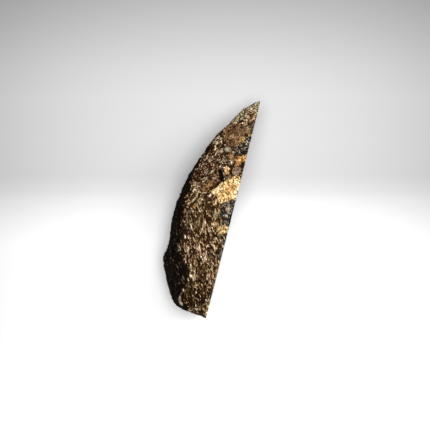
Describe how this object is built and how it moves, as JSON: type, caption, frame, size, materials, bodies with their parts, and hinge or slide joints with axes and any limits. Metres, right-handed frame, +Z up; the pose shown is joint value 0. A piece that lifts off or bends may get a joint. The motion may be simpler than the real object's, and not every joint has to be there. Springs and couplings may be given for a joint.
{
  "type": "polished agate half nodule",
  "caption": "Half of an elongated agate nodule: one side sawn flat and polished to show curved bands, the rest rough mottled rind.",
  "frame": {"origin": "middle of the bounding box's underside, on the surface that the stone lies on", "axes": "+X out of the polished face, across the stone's thickness; +Y along its length, towards the pointed tip; +Z up through its depth, out of the flank that the picture shows"},
  "size_m": [0.0316, 0.1236, 0.0588],
  "materials": {
    "agate": "rough mottled dark brown and beige rind with a cream crust; polished banded grey, white and honey agate on the flat face"
  },
  "bodies": {
    "root": {"agate": "agate"}
  },
  "joints": []
}
